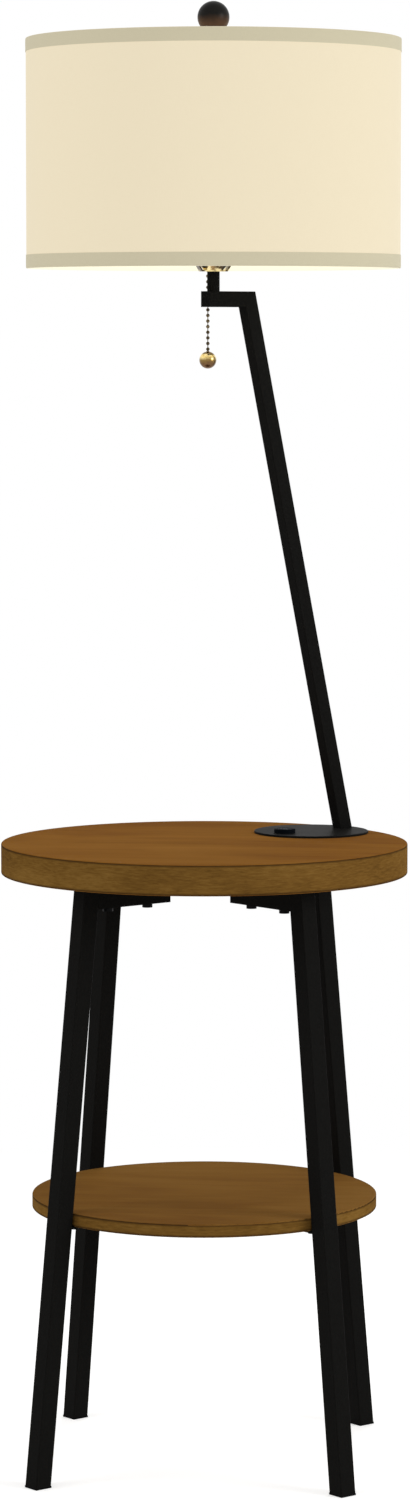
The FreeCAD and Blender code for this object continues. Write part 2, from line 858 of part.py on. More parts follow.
def makeRiser():
    ring("riser_tube", size("riser_bore"), size("riser_radius"), arm_top, size("riser_tall"))
    nipple_floor = saddle_floor - size("nipple_tail")
    ring("threaded_nipple", size("nipple_bore"), size("nipple_radius"), nipple_floor,
         cap_floor + size("nipple_head") - nipple_floor)


def makeSaddle():
    """A bent strip under the socket cap whose two narrow ends carry the harp."""
    body = keep("harp_saddle", headBody("harp_saddle", size("harp_turn").value))
    foot, spread, thick = size("saddle_foot"), size("saddle_spread"), size("saddle_thick")
    inside, tip = spread - thick, saddle_bend + size("saddle_tab")
    right = [(foot, saddle_floor), (spread, saddle_bend), (spread, saddle_shoulder),
             (inside, saddle_shoulder), (inside, saddle_bend), (foot - thick / 2, cap_floor)]
    left = [(-x, z) for x, z in reversed(right)]
    slab(body, "saddle_strip", right + left, size("saddle_width"))
    for name, outer, inner in (("saddle_tab_right", spread, inside), ("saddle_tab_left", -inside, -spread)):
        slab(body, name, [(inner, saddle_shoulder), (outer, saddle_shoulder), (outer, tip), (inner, tip)],
             size("saddle_tab_width"))
    drill(body, "saddle_hole", cap_floor, [(0, 0, size("nipple_radius") + size("bolt_gap"))], thick)


def makeSocket():
    cap = keep("socket_cap", headBody("socket_cap"))
    bore, wall = size("nipple_radius") + size("thread_gap"), size("cap_wall")
    cone_top, hub_height = cap_floor + size("cap_cone"), cap_floor + size("cap_hub")
    turned(cap, "cap_turning",
           [(bore, cap_floor), (size("cap_foot_radius"), cap_floor), (size("cap_radius"), cone_top),
            (size("cap_radius"), cap_rim), (size("cap_radius") - wall, cap_rim),
            (size("cap_radius") - wall, cone_top + size("cap_bend_rise")),
            (size("cap_foot_radius"), hub_height), (bore, hub_height)])
    shell = keep("socket_shell", headBody("socket_shell"))
    outer = size("shell_radius")
    inner = outer - size("shell_wall")
    lip = inner - size("shell_lip")
    rim_top = shell_rim + size("shell_wall")
    turned(shell, "shell_turning",
           [(inner, shell_floor), (outer, shell_floor), (outer, rim_top), (lip, rim_top),
            (lip, shell_rim), (inner, shell_rim)])
    liner_outer = inner - size("liner_gap")
    liner_inner = liner_outer - size("liner_wall")
    ring("socket_liner", liner_inner, liner_outer, core_floor, shell_rim - core_floor)
    ring("socket_core", size("nipple_bore"), liner_inner - size("liner_gap"), core_floor, size("core_tall"))
    threads = size("screw_shell_radius")
    ring("screw_shell", threads - size("screw_shell_wall"), threads, core_top, size("screw_shell_tall"))
    ring("centre_contact", size("contact_bore"), size("contact_radius"), core_top, size("contact_tall"))


def makeBulb():
    base = keep("bulb_base", headBody("bulb_base"))
    tip, bevel = base_floor - size("base_tip_tall"), size("base_bevel")
    turned(base, "base_turning",
           [(0, tip), (size("base_tip_radius"), tip), (size("base_radius") - bevel, base_floor),
            (size("base_radius"), base_floor + bevel), (size("base_radius"), glass_floor), (0, glass_floor)])
    glass = keep("bulb_glass", headBody("bulb_glass"))
    neck, wide = size("bulb_neck_radius"), size("bulb_radius")
    neck_top = glass_floor + size("bulb_neck_tall")
    shoulder = neck_top + size("bulb_shoulder")
    crown = glass_floor + size("bulb_tall")
    turned(glass, "glass_turning",
           [(0, glass_floor), (neck, glass_floor), (neck, neck_top), (wide, shoulder), (wide, crown),
            (0, crown)])
    roundRim(glass, "glass_shoulder", wide * shoulder_share, wide, (shoulder,))
    roundRim(glass, "glass_crown", wide * crown_share, wide, (crown,))
    roundRim(glass, "glass_neck", neck, neck, (neck_top,))


def harpRoute():
    """Corner points of the harp's wire, up one side, over and down the other."""
    wide = size("harp_half_width")
    right = [(harp_side, harp_start), (harp_side, harp_start + size("harp_lower")),
             (wide, harp_start + size("harp_waist")), (wide, harp_start + size("harp_shoulder")),
             (size("harp_top_half"), harp_crown)]
    points = right + [(-x, z) for x, z in reversed(right)]
    return [Vector(x.value, z.value, 0) for x, z in points]


def roundedEdges(points):
    """Straight runs joined by tangent arcs, each as large as its two runs allow."""
    edges, start = [], points[0]
    for before, corner, after in zip(points, points[1:], points[2:]):
        back, ahead = (before - corner), (after - corner)
        run = arc_share * min(back.Length, ahead.Length)
        half_turn = (math.pi - back.getAngle(ahead)) / 2
        back.normalize()
        ahead.normalize()
        enter, leave = corner + back * run, corner + ahead * run
        inward = back + ahead
        inward.normalize()
        radius = run / math.tan(half_turn)
        centre = corner + inward * (radius / math.cos(half_turn))
        edges.append(Part.LineSegment(start, enter))
        edges.append(Part.Arc(enter, centre - inward * radius, leave))
        start = leave
    edges.append(Part.LineSegment(start, points[-1]))
    return edges


def placeOnHead(thing, spin=0, height=0):
    x, y = onDiagonal(LAMP_TURN, size("axis_reach"))
    return place(thing, x, y, height, LAMP_TURN + spin)


def makeHarp():
    """The sprung wire loop round the bulb, with its two sleeves and its threaded stud."""
    spin = size("harp_turn").value
    body = keep("harp", headBody("harp", spin))
    path = newSketch(body, "harp_path", "XZ_Plane")
    for edge in roundedEdges(harpRoute()):
        path.addGeometry(edge, False)
    section = circles(body, "harp_section", harp_start, [(harp_side, 0, size("wire_radius"))])
    pipe = body.newObject("PartDesign::AdditivePipe", "harp_wire")
    pipe.Profile = section
    pipe.Spine = (path, [])
    sleeves = []
    for side, x in (("right", size("saddle_spread")), ("left", -size("saddle_spread"))):
        tall = size("ferrule_tall")
        outer = rod("ferrule_outer_" + side, size("ferrule_radius"), tall, x, 0, saddle_shoulder)
        bore = rod("ferrule_bore_" + side, size("ferrule_bore"), tall, x, 0, saddle_shoulder)
        sleeves.append(cut("ferrule_" + side, outer, bore))
    placeOnHead(group("harp_sleeves", sleeves), spin)
    boss = rod("stud_boss", size("harp_boss_radius"), hub_floor - harp_crown, 0, 0, harp_crown)
    stem = rod("stud_stem", size("finial_stud_radius"), size("finial_stud_tall") + overrun, 0, 0,
               hub_floor - overrun)
    groove = doc.addObject("Part::Cylinder", "stud_groove")
    groove.setExpression("Radius", size("wire_radius").text)
    groove.setExpression("Height", (size("harp_boss_radius") * 2).text)
    across = FreeCAD.Rotation(Vector(0, 1, 0), 90)
    groove.Placement = FreeCAD.Placement(Vector(-size("harp_boss_radius").value, 0, harp_crown.value), across)
    placeOnHead(keep("harp_stud", cut("harp_stud", fused("stud_solid", [boss, stem]), groove)), spin)


# ---------------------------------------------------------------- shade and finial
def strut(name, radius, start, end):
    """A round bar between two points."""
    near, far = (Vector(*[term(part).value for part in point]) for point in (start, end))
    along = far - near
    bar = doc.addObject("Part::Cylinder", name)
    bar.setExpression("Radius", term(radius).text)
    bar.Height = along.Length
    bar.Placement = FreeCAD.Placement(near, FreeCAD.Rotation(Vector(0, 0, 1), along))
    return bar


def makeFitter():
    """Washer on the harp, and three spokes welded under it and under the top ring."""
    ring_height = shade_top - size("trim_thick") - size("ring_radius")
    washer = rod("washer_blank", size("hub_radius"), size("hub_thick"), 0, 0, hub_floor)
    bore = size("finial_stud_radius") + size("hub_gap")
    hole = rod("washer_bore", bore, size("hub_thick"), 0, 0, hub_floor)
    placeOnHead(keep("fitter_hub", cut("fitter_hub", washer, hole)))
    placeOnHead(keep("top_ring", hoop("top_ring", ring_reach, size("ring_radius"))), 0, ring_height)
    low = hub_floor - size("spoke_radius")
    high = ring_height - size("ring_radius") - size("spoke_radius")
    rise = (high - low) / (ring_reach - size("hub_radius"))
    inner = size("spoke_inner_end")
    inner_height = low - (size("hub_radius") - inner) * rise
    spokes = []
    count = int(size("spoke_count").value)
    for number in range(count):
        turn = math.radians(360 / count * number + size("spoke_start_angle").value)
        start = (inner * math.cos(turn), inner * math.sin(turn), inner_height)
        end = (ring_reach * math.cos(turn), ring_reach * math.sin(turn), high)
        spokes.append(strut("spoke_%d" % (number + 1), size("spoke_radius"), start, end))
    placeOnHead(group("fitter_spokes", spokes))


def makeTrim(label, edge, sign):
    """Tape round the drum's outside, folded over its edge and the wire ring."""
    body = keep(label, headBody(label))
    thick, outer, lip = size("trim_thick") * sign, size("shade_radius"), ring_reach - size("ring_radius")
    band = edge - size("trim_wide") * sign
    turned(body, label + "_tape",
           [(drum_radius, band), (outer, band), (outer, edge), (lip, edge),
            (lip, edge - thick), (drum_radius, edge - thick)])


def makeShade():
    ring("shade_drum", drum_inner, drum_radius, shade_floor + size("trim_thick"),
         size("shade_tall") - size("trim_thick") * 2)
    makeFitter()
    lower = shade_floor + size("trim_thick") + size("ring_radius")
    placeOnHead(keep("bottom_ring", hoop("bottom_ring", ring_reach, size("ring_radius"))), 0, lower)
    makeTrim("top_trim", shade_top, 1)
    makeTrim("bottom_trim", shade_floor, -1)


def makeFinial():
    foot_body = doc.addObject("PartDesign::Body", "finial_stem")
    bore = size("finial_stud_radius") + size("finial_thread_gap")
    bore_top = hub_floor + size("finial_stud_tall") + size("finial_bore_spare")
    seat = hub_top + size("finial_seat_gap")
    shoulder = seat + size("finial_foot_tall")
    waist = shoulder + size("finial_cone_tall")
    turned(foot_body, "finial_turning",
           [(bore, seat), (size("finial_foot_radius"), seat), (size("finial_foot_radius"), shoulder),
            (size("finial_neck_radius"), waist), (size("finial_neck_radius"), ball_middle),
            (0, ball_middle), (0, bore_top), (bore, bore_top)])
    ball = orb("finial_ball", size("ball_radius"), 0, 0, ball_middle)
    placeOnHead(keep("finial", fused("finial", [foot_body, ball])))


# ---------------------------------------------------------------- pull chain
def chainPlace():
    turn = math.radians(size("chain_angle").value)
    along = size("axis_reach") + size("chain_reach") * math.cos(turn)
    return onDiagonal(LAMP_TURN, along, size("chain_reach") * math.sin(turn))


def makeBell():
    """The hood on the socket's side that the chain drops out of."""
    x, y = chainPlace()
    floor = bell_floor
    lip = size("bell_radius") + size("bell_lip")
    hood = rod("bell_hood", size("bell_radius"), size("bell_tall"), x, y, floor)
    rim = rod("bell_rim", lip, size("bell_lip"), x, y, floor)
    turn = LAMP_TURN + size("chain_angle").value
    middle = onDiagonal(turn, -size("chain_reach") / 2)
    arm = block("bell_arm", size("chain_reach"), size("bell_arm_wide"), size("bell_arm_tall"),
                x + middle[0], y + middle[1], floor + size("bell_arm_lift"), turn)
    head_x, head_y = onDiagonal(LAMP_TURN, size("axis_reach"))
    barrel = rod("bell_barrel", size("shell_radius"), size("bell_tall") + overrun * 2, head_x, head_y,
                 floor - overrun)
    bore = rod("bell_bore", size("bell_bore"), size("bell_tall") - size("bell_roof"), x, y, floor)
    solid = fused("bell_solid", [hood, rim, arm])
    keep("chain_bell", cut("chain_bell", solid, fused("bell_hollow", [barrel, bore])))


def beads(name, first, step, count, link_floor, link_top):
    """Balls evenly spaced on one thin link."""
    x, y = chainPlace()
    members = [rod(name + "_link", size("link_radius"), link_top - link_floor, x, y, link_floor)]
    for number in range(count):
        height = first + step * number
        members.append(orb("%s_bead_%d" % (name, number + 1), size("bead_radius"), x, y, height))
    return keep(name, fused(name, members))


def makeChain():
    makeBell()
    x, y = chainPlace()
    pivot, pitch, gap = bell_floor, size("bead_pitch"), size("pivot_gap") / 2
    first = pivot + size("bead_first")
    beads("chain_top", first, pitch, 2, pivot + gap, first + pitch)
    neck_top = pull_ball_middle + size("pull_ball_radius") + size("pull_neck_tall")
    start = pivot + size("bead_first") - pitch
    count = int((start.value - neck_top.value) / pitch.value) + 1
    beads("pull_chain", start, -pitch, count, neck_top, pivot - gap)
    ball = orb("pull_sphere", size("pull_ball_radius"), x, y, pull_ball_middle)
    neck = rod("pull_neck", size("pull_neck_radius"), neck_top - pull_ball_middle, x, y,
               pull_ball_middle)
    keep("pull_ball", fused("pull_ball", [ball, neck]))


# ---------------------------------------------------------------- build and write
def build():
    makeTable()
    makePlate()
    makePlateFixings()
    makePole()
    makeArm()
    makeGrommet()
    makePort()
    makeRiser()
    makeSaddle()
    makeSocket()
    makeBulb()
    makeHarp()
    makeShade()
    makeFinial()
    makeChain()
    doc.recompute()


def checkAndWrite():
    for thing in doc.Objects:
        if "Invalid" in thing.State or "Error" in thing.State:
            raise ValueError("failed: " + thing.Label)
    for label, thing in pieces.items():
        if thing.Shape.isNull() or not thing.Shape.isValid():
            raise ValueError("bad shape: " + label)
    for label, thing in pieces.items():
        thing.Shape.exportStep("parts/%s.step" % label)
        print("%-20s %2d solids %12.1f mm3" % (label, len(thing.Shape.Solids), thing.Shape.Volume))


build()
checkAndWrite()
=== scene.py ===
import math

import bpy
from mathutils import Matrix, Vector


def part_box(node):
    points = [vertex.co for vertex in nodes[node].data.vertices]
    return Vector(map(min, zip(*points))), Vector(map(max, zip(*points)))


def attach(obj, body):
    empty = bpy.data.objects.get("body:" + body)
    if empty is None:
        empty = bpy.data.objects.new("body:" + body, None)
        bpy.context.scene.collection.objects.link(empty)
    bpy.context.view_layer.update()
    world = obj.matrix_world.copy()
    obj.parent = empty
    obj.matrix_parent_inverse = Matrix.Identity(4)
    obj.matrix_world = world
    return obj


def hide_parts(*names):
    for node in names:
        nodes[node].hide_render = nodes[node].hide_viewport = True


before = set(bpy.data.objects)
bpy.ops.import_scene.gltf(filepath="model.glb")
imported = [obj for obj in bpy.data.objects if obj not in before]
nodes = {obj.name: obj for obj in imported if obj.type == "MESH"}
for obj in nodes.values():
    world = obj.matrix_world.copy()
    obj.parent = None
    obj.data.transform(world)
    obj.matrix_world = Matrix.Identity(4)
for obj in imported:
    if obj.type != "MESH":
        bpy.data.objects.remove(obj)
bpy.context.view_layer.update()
scene = bpy.context.scene
print("frame loaded,", len(nodes), "nodes")

lampAxis = Vector((0.008485, 0.008485, 0.0))   # the riser, socket, shade and finial stand on this line
white = (1, 1, 1, 1)

cameraValues = {
    "distance": 4.7114,   # from the table's axis, metres
    "turn": 5.43,         # degrees to the right of square on
    "slide": 0.0007,      # sideways, to the right
    "height": 1.1562,
    "tilt": 5.132,        # degrees down
    "lens": 111.05,
    "sensor": 36.0,
}


def makeCamera(v):
    turn = math.radians(v["turn"])
    data = bpy.data.cameras.new("photoCamera")
    data.lens = v["lens"]
    data.sensor_width = v["sensor"]
    camera = bpy.data.objects.new("photoCamera", data)
    scene.collection.objects.link(camera)
    away, aside = v["distance"], v["slide"]
    camera.location = (away * math.sin(turn) + aside * math.cos(turn),
                       -away * math.cos(turn) + aside * math.sin(turn), v["height"])
    camera.rotation_euler = (math.radians(90 - v["tilt"]), 0, turn)
    scene.camera = camera


def addNode(tree, kind, inputs=None, **settings):
    made = tree.nodes.new("ShaderNode" + kind)
    for key, value in settings.items():
        setattr(made, key, value)
    for key, value in (inputs or {}).items():
        if isinstance(value, bpy.types.NodeSocket):
            tree.links.new(value, made.inputs[key])
        else:
            made.inputs[key].default_value = value
    return made


def calculate(tree, how, *parts):
    return addNode(tree, "Math", dict(enumerate(parts)), operation=how).outputs[0]


def spread(tree, value, low, high, toLow=0.0, toHigh=1.0):
    return addNode(tree, "MapRange", {"Value": value, "From Min": low, "From Max": high,
                                      "To Min": toLow, "To Max": toHigh}).outputs[0]


def objectPoint(tree, scale=(1, 1, 1), shift=(0, 0, 0)):
    place = addNode(tree, "TexCoord").outputs["Object"]
    return addNode(tree, "Mapping", {"Vector": place, "Scale": scale, "Location": shift}).outputs[0]


def heightAbove(tree):
    return addNode(tree, "SeparateXYZ", {0: objectPoint(tree)}).outputs[2]


def lengthOf(tree, vector):
    return addNode(tree, "VectorMath", {0: vector}, operation="LENGTH").outputs["Value"]


def directRays(tree):
    # 1 for what the camera, a mirror or glass sees, 0 for the light that falls on matt surfaces
    path = addNode(tree, "LightPath").outputs
    seen = calculate(tree, "MAXIMUM", path["Is Camera Ray"], path["Is Glossy Ray"])
    return calculate(tree, "MAXIMUM", seen, path["Is Transmission Ray"])


def clearSelection():
    if bpy.context.mode != "OBJECT":
        bpy.ops.object.mode_set(mode="OBJECT")
    bpy.ops.object.select_all(action="DESELECT")


def pick(piece):
    clearSelection()
    piece.select_set(True)
    bpy.context.view_layer.objects.active = piece


lightValues = {
    "skyLevel": 0.50,     # what the sky gives to matt surfaces
    "seenLevel": 1.0,     # white behind the lamp
    "key": {"at": (3.8, -1.5, 1.9), "size": 2.0, "power": 74, "aim": 0.7, "mirrored": True},
    "fill": {"at": (-3.4, -2.2, 2.8), "size": 2.4, "power": 52, "aim": 1.1, "mirrored": False},
    "back": {"at": (0.6, 3.2, 2.9), "size": 2.0, "power": 34, "aim": 0.9, "mirrored": False},
}


def makeSky(v):
    world = bpy.data.worlds.new("paleStudio")
    world.use_nodes = True
    tree = world.node_tree
    tree.nodes.clear()
    plain = addNode(tree, "Background", {"Color": white, "Strength": v["skyLevel"]})
    seen = addNode(tree, "Background", {"Color": white, "Strength": v["seenLevel"]})
    mixed = addNode(tree, "MixShader", {0: directRays(tree), 1: plain.outputs[0], 2: seen.outputs[0]})
    addNode(tree, "OutputWorld", {"Surface": mixed.outputs[0]})
    scene.world = world


def makeLight(name, v):
    data = bpy.data.lights.new(name, "AREA")
    data.shape = "DISK"
    data.size = v["size"]
    data.energy = v["power"]
    light = bpy.data.objects.new(name, data)
    scene.collection.objects.link(light)
    light.location = v["at"]
    aim = Vector((0, 0, v["aim"])) - Vector(v["at"])
    light.rotation_euler = aim.to_track_quat("-Z", "Y").to_euler()
    light.visible_camera = False
    light.visible_glossy = v["mirrored"]


floorValues = {
    "side": 60.0,
    "colour": (0.80, 0.80, 0.79, 1),
    "lift": 0.52,         # raises the seen floor to white and leaves the deeper shadow
    "shadowReach": 0.8,   # from the middle of the floor, metres; beyond it the seen floor turns white
    "whiteReach": 1.8,    # and is all white from here on
    "whiteLevel": 1.0,
}


def makeFloor(v):
    clearSelection()
    bpy.ops.mesh.primitive_plane_add(size=v["side"], location=(0, 0, 0))
    floor = bpy.context.object
    floor.name = "studioFloor"
    material = bpy.data.materials.new("paleFloor")
    material.use_nodes = True
    tree = material.node_tree
    tree.nodes.clear()
    direct = directRays(tree)
    lift = calculate(tree, "MULTIPLY", direct, v["lift"])
    matt = addNode(tree, "BsdfDiffuse", {"Color": v["colour"]})
    glow = addNode(tree, "Emission", {"Color": white, "Strength": lift})
    near = addNode(tree, "AddShader", {0: matt.outputs[0], 1: glow.outputs[0]})
    far = spread(tree, lengthOf(tree, objectPoint(tree)), v["shadowReach"], v["whiteReach"])
    seenFar = calculate(tree, "MULTIPLY", far, direct)
    plain = addNode(tree, "Emission", {"Color": white, "Strength": v["whiteLevel"]})
    both = addNode(tree, "MixShader", {0: seenFar, 1: near.outputs[0], 2: plain.outputs[0]})
    addNode(tree, "OutputMaterial", {"Surface": both.outputs[0]})
    floor.data.materials.append(material)


scene.view_settings.view_transform = "Standard"
makeCamera(cameraValues)
makeSky(lightValues)
for lightName in ("key", "fill", "back"):
    makeLight(lightName + "Light", lightValues[lightName])
makeFloor(floorValues)
print("camera, lights and floor made")


def newFinish(name, colour, rough, metal=0.0, shine=0.5):
    material = bpy.data.materials.new(name)
    material.use_nodes = True
    shader = material.node_tree.nodes["Principled BSDF"]
    shader.inputs["Base Color"].default_value = (*colour, 1)
    shader.inputs["Roughness"].default_value = rough
    shader.inputs["Metallic"].default_value = metal
    shader.inputs["Specular IOR Level"].default_value = shine
    return material, material.node_tree, shader


def noise(tree, vector, scale=1.0, detail=4.0, rough=0.55, twist=0.0, seed=None):
    values = {"Vector": vector, "Scale": scale, "Detail": detail, "Roughness": rough, "Distortion": twist}
    if seed is None:
        return addNode(tree, "TexNoise", values).outputs["Fac"]
    return addNode(tree, "TexNoise", {**values, "W": seed}, noise_dimensions="4D").outputs["Fac"]


def tonesOf(colour, shares):
    return [tuple(part * share for part in colour) for share in shares]


def rampThrough(tree, value, tones, low=0.36, high=0.64):
    ramp = addNode(tree, "ValToRGB", {0: value})
    ends = ramp.color_ramp.elements
    for end, place, tone in ((ends[0], low, "dark"), (ends[1], high, "light")):
        end.position = place
        end.color = (*tones[tone], 1)
    ends.new((low + high) / 2).color = (*tones["middle"], 1)
    return ramp.outputs[0]


def blendColours(tree, share, first, second):
    ends = [(*end, 1) if isinstance(end, tuple) else end for end in (first, second)]
    return addNode(tree, "Mix", {0: share, 6: ends[0], 7: ends[1]}, data_type="RGBA").outputs[2]


def setColour(tree, shader, colour):
    tree.links.new(colour, shader.inputs["Base Color"])


def mottle(tree, shader, value, tones, low=0.3, high=0.7):
    # the colour goes from the first tone to the second while the value climbs from low to high
    setColour(tree, shader, blendColours(tree, spread(tree, value, low, high), *tones))


def varyRough(tree, shader, value, rough, drift, low=0.3, high=0.7):
    varied = spread(tree, value, low, high, rough + drift[0], rough + drift[1])
    tree.links.new(varied, shader.inputs["Roughness"])


def addBump(tree, shader, height, strength, deep=0.0002):
    bump = addNode(tree, "Bump", {"Height": height, "Strength": strength, "Distance": deep})
    tree.links.new(bump.outputs[0], shader.inputs["Normal"])


def addGlow(shader, colour, strength):
    shader.inputs["Emission Color"].default_value = (*colour, 1)
    shader.inputs["Emission Strength"].default_value = strength


def heightShare(tree, node, uneven, scale):
    # 0 at a node's foot and 1 at its top, shifted up and down by noise
    low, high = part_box(node)
    share = spread(tree, heightAbove(tree), low.z, high.z)
    clouds = noise(tree, objectPoint(tree), scale, detail=3, rough=0.55)
    return calculate(tree, "ADD", share, spread(tree, clouds, 0.3, 0.7, -uneven, uneven))


woodValues = {
    "face": {"dark": (0.184, 0.071, 0.012), "middle": (0.234, 0.099, 0.017), "light": (0.268, 0.121, 0.024)},
    "rim": {"dark": (0.112, 0.054, 0.011), "middle": (0.174, 0.087, 0.018), "light": (0.232, 0.124, 0.029)},
    "rimSlope": 0.6,      # a surface is rim where its normal points up or down by less than this
    "edgeLine": (0.035, 0.016, 0.006),
    "edgeWide": 0.0021,   # the darker line along the top and bottom of the rim
    "edgeShare": 0.85,
    "rough": 0.78,
    "drift": (-0.05, 0.05),   # of the roughness, from one end of the noise to the other
    "shine": 0.006,
    "faceClouds": (4.0, 10.0, 10.0),
    "faceGrain": (9.0, 85.0, 85.0),
    "faceTwist": 0.5,
    "faceShare": 0.66,    # how much of the tone is cloud, the rest being grain
    "rimClouds": (7.0, 7.0, 22.0),
    "rimGrain": (95.0, 95.0, 620.0),
    "rimTwist": 0.2,
    "rimShare": 0.42,
    "shelfPaintedLift": (0.96, 1.09, 1.38),   # painted light: the shelf's face made paler and bluer than the table top's, to lift it out of the table top's shade
    "bump": 0.06,
}


def woodTone(tree, clouds, grain, twist, cloudShare):
    cloud = noise(tree, objectPoint(tree, clouds), detail=3, rough=0.5, twist=twist)
    fine = noise(tree, objectPoint(tree, grain), detail=8, rough=0.68, twist=0.2)
    cloudPart = calculate(tree, "MULTIPLY", cloud, cloudShare)
    return calculate(tree, "MULTIPLY_ADD", fine, 1 - cloudShare, cloudPart)


def edgeLine(tree, node, v):
    low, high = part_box(node)
    height = heightAbove(tree)
    fromTop = calculate(tree, "SUBTRACT", high.z, height)
    fromFoot = calculate(tree, "SUBTRACT", height, low.z)
    nearest = calculate(tree, "MINIMUM", fromTop, fromFoot)
    return spread(tree, nearest, v["edgeWide"] * 0.5, v["edgeWide"] * 1.5, v["edgeShare"], 0.0)


def woodFinish(name, node, v, tint=(1, 1, 1)):
    material, tree, shader = newFinish(name, v["face"]["middle"], v["rough"], 0, v["shine"])
    faceTone = woodTone(tree, v["faceClouds"], v["faceGrain"], v["faceTwist"], v["faceShare"])
    rimTone = woodTone(tree, v["rimClouds"], v["rimGrain"], v["rimTwist"], v["rimShare"])
    upward = addNode(tree, "SeparateXYZ", {0: addNode(tree, "TexCoord").outputs["Normal"]}).outputs[2]
    onRim = calculate(tree, "LESS_THAN", calculate(tree, "ABSOLUTE", upward), v["rimSlope"])
    face = {place: tuple(a * b for a, b in zip(tone, tint)) for place, tone in v["face"].items()}
    wood = blendColours(tree, onRim, rampThrough(tree, faceTone, face), rampThrough(tree, rimTone, v["rim"]))
    line = calculate(tree, "MULTIPLY", edgeLine(tree, node, v), onRim)
    setColour(tree, shader, blendColours(tree, line, wood, v["edgeLine"]))
    varyRough(tree, shader, faceTone, v["rough"], v["drift"])
    addBump(tree, shader, faceTone, v["bump"])
    return material


coatValues = {
    "colour": (0.0064, 0.0062, 0.0057),
    "tones": (0.7, 1.7),  # the darkest and palest specks, as shares of the colour
    "rough": 0.46,
    "drift": (-0.05, 0.05),
    "shine": 0.009,
    "grain": 1400.0,      # the fine pebble of a powder coat
    "grainFrom": (0.35, 0.65),   # the noise's range that goes from the dark tone to the pale one
    "bump": 0.05,
    "cloud": 9.0,
}


def coatFinish(name, v):
    material, tree, shader = newFinish(name, v["colour"], v["rough"], 0, v["shine"])
    pebble = noise(tree, objectPoint(tree), v["grain"], detail=2, rough=0.5)
    cloud = noise(tree, objectPoint(tree), v["cloud"], detail=3, rough=0.5)
    mottle(tree, shader, pebble, tonesOf(v["colour"], v["tones"]), *v["grainFrom"])
    varyRough(tree, shader, cloud, v["rough"], v["drift"])
    addBump(tree, shader, pebble, v["bump"])
    return material


plasticValues = {
    "black": {"colour": (0.005, 0.005, 0.005), "rough": 0.58},
    "port": {"colour": (0.0030, 0.0042, 0.0060), "rough": 0.58},
    "rubber": {"colour": (0.018, 0.018, 0.018), "rough": 0.75},
    "phenolic": {"colour": (0.030, 0.019, 0.013), "rough": 0.35},
    "tones": (0.8, 1.25),
    "shine": 0.015,
    "grain": 2600.0,
    "bump": 0.08,
    "bumpDeep": 0.0001,
}


def plasticFinish(name, kind, v):
    colour = v[kind]["colour"]
    material, tree, shader = newFinish(name, colour, v[kind]["rough"], 0, v["shine"])
    speck = noise(tree, objectPoint(tree), v["grain"], detail=2, rough=0.5)
    mottle(tree, shader, speck, tonesOf(colour, v["tones"]))
    addBump(tree, shader, speck, v["bump"], v["bumpDeep"])
    return material


cleanBrass = (0.93, 0.76, 0.40)
brassValues = {
    "bright": {"clean": cleanBrass, "stainAndPaintedReflection": (0.62, 0.46, 0.20), "from": 0.51, "seed": None},
    # painted reflection: the dark patches on the saddle and socket cap stand for dark surroundings mirrored
    # in polished brass
    "paintedReflection": {"clean": cleanBrass, "stainAndPaintedReflection": (0.06, 0.035, 0.012), "from": 0.50, "seed": 1.0},
    "aged": {"clean": (0.165, 0.125, 0.068), "stainAndPaintedReflection": (0.066, 0.048, 0.027), "from": 0.40, "seed": None},
    "patches": 60.0,
    "patchEdge": 0.07,
    "lines": (40.0, 40.0, 2600.0),   # turning marks round the pieces
    "rough": 0.20,
    "drift": (-0.06, 0.08),
    "bump": 0.06,
    "bumpDeep": 0.0001,
}


def brassFinish(name, kind, v):
    look = v[kind]
    material, tree, shader = newFinish(name, look["clean"], v["rough"], 1.0)
    patches = noise(tree, objectPoint(tree), v["patches"], detail=4, rough=0.6, seed=look["seed"])
    marks = noise(tree, objectPoint(tree, v["lines"]), detail=2, rough=0.5)
    tones = look["clean"], look["stainAndPaintedReflection"]
    # the patches are real tarnish on the bright and aged brass, and painted reflection on the saddle and
    # socket cap
    mottle(tree, shader, patches, tones, look["from"], look["from"] + v["patchEdge"])
    varyRough(tree, shader, marks, v["rough"], v["drift"])
    addBump(tree, shader, marks, v["bump"], v["bumpDeep"])
    return material


ballValues = {
    # painted reflection in the ball: the dark and middle tones stand for dark surroundings mirrored below,
    # the light tone for a painted highlight
    "dark": (0.165, 0.090, 0.042),
    "middle": (0.270, 0.172, 0.052),
    "light": (0.980, 0.790, 0.380),
    "crown": (0.16, 0.10, 0.035),
    "band": (0.26, 0.70),        # shares of the height, from the dark painted reflection to the painted highlight
    "crownFrom": (0.77, 0.84),
    "uneven": 0.09,
    "cloud": 130.0,
    "rough": 0.20,
    "drift": (0.12, -0.05),
    "driftFrom": (0.1, 0.9),
}


def ballFinish(name, v):
    # painted reflection: dark below, a painted highlight band above the middle where the lit shade would
    # mirror, and darker again at the top round the chain
    material, tree, shader = newFinish(name, v["middle"], v["rough"], 1.0)
    share = heightShare(tree, "pull_ball", v["uneven"], v["cloud"])
    mottle(tree, shader, share, (rampThrough(tree, share, v, *v["band"]), v["crown"]), *v["crownFrom"])
    varyRough(tree, shader, share, v["rough"], v["drift"], *v["driftFrom"])
    return material


steelValues = {
    "zinc": {"colour": (0.52, 0.54, 0.57), "rough": 0.38, "metal": 1.0, "shine": 0.5},
    "black": {"colour": (0.006, 0.006, 0.006), "rough": 0.42, "metal": 0.0, "shine": 0.05},
    "tones": (0.82, 1.0),
    "scuff": (300, 300, 900),
    "drift": (-0.08, 0.08),
}


def steelFinish(name, kind, v):
    look = v[kind]
    material, tree, shader = newFinish(name, look["colour"], look["rough"], look["metal"], look["shine"])
    scuff = noise(tree, objectPoint(tree, v["scuff"]), detail=3, rough=0.6)
    mottle(tree, shader, scuff, tonesOf(look["colour"], v["tones"]))
    varyRough(tree, shader, scuff, look["rough"], v["drift"])
    return material


